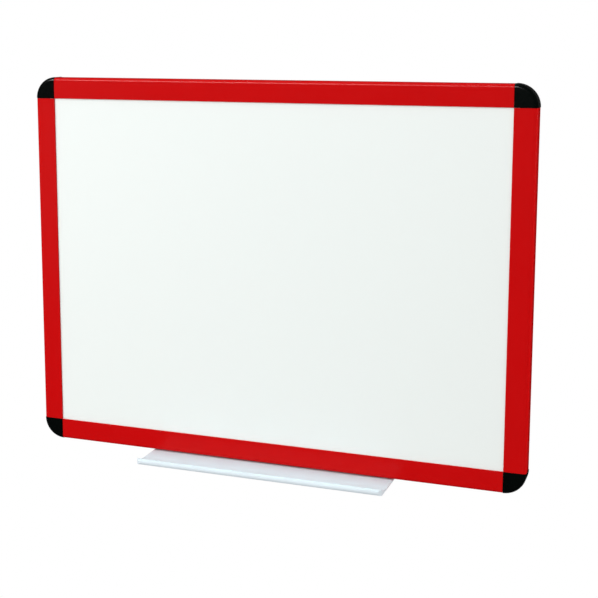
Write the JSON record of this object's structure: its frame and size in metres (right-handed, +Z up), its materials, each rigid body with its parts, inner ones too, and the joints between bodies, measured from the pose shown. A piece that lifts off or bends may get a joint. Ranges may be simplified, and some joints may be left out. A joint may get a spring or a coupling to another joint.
{
  "type": "wall whiteboard",
  "caption": "Wall whiteboard: steel-faced panel in an extruded frame, with pull-off corner caps over the wall screws and a pen tray that slides along the bottom rail.",
  "frame": {"origin": "middle of the wall screw holes, on the wall plane at the back of the frame", "axes": "+X along the board to the right as seen from the writing side, +Y into the wall, +Z up"},
  "size_m": [0.6008, 0.0686, 0.4532],
  "materials": {
    "writing_white": "smooth semi-gloss white lacquer",
    "core_board": "plain fibreboard",
    "backing_zinc": "dull zinc-coated sheet",
    "frame_red": "smooth red powder coat",
    "bracket_grey": "matt moulded plastic",
    "cap_black": "glossy moulded plastic",
    "tray_grey": "satin plastic",
    "glide_nylon": "natural nylon",
    "screw_steel": "bright zinc"
  },
  "bodies": {
    "frame": {"writing_surface": "writing_white", "core_board": "core_board", "backing_sheet": "backing_zinc", "rail_top": "frame_red", "rail_bottom": "frame_red", "rail_left": "frame_red", "rail_right": "frame_red", "corner_bracket_top_left": "bracket_grey", "corner_bracket_top_right": "bracket_grey", "corner_bracket_bottom_left": "bracket_grey", "corner_bracket_bottom_right": "bracket_grey", "bracket_screws": "screw_steel"},
    "tray": {"pen_tray": "tray_grey", "tray_end_cap_left": "tray_grey", "tray_end_cap_right": "tray_grey", "tray_slider_left": "glide_nylon", "tray_slider_right": "glide_nylon", "tray_screws": "screw_steel"},
    "cap_top_left": {"corner_cap_top_left": "cap_black"},
    "cap_top_right": {"corner_cap_top_right": "cap_black"},
    "cap_bottom_left": {"corner_cap_bottom_left": "cap_black"},
    "cap_bottom_right": {"corner_cap_bottom_right": "cap_black"}
  },
  "joints": [
    {"name": "tray_slide", "type": "slide", "parent": "frame", "child": "tray", "axis": [1, 0, 0], "range_m": [-0.12, 0.12]},
    {"name": "cap_pull_top_left", "type": "slide", "parent": "frame", "child": "cap_top_left", "axis": [0, -1, 0], "range_m": [0, 0.03]},
    {"name": "cap_pull_top_right", "type": "slide", "parent": "frame", "child": "cap_top_right", "axis": [0, -1, 0], "range_m": [0, 0.03]},
    {"name": "cap_pull_bottom_left", "type": "slide", "parent": "frame", "child": "cap_bottom_left", "axis": [0, -1, 0], "range_m": [0, 0.03]},
    {"name": "cap_pull_bottom_right", "type": "slide", "parent": "frame", "child": "cap_bottom_right", "axis": [0, -1, 0], "range_m": [0, 0.03]}
  ]
}
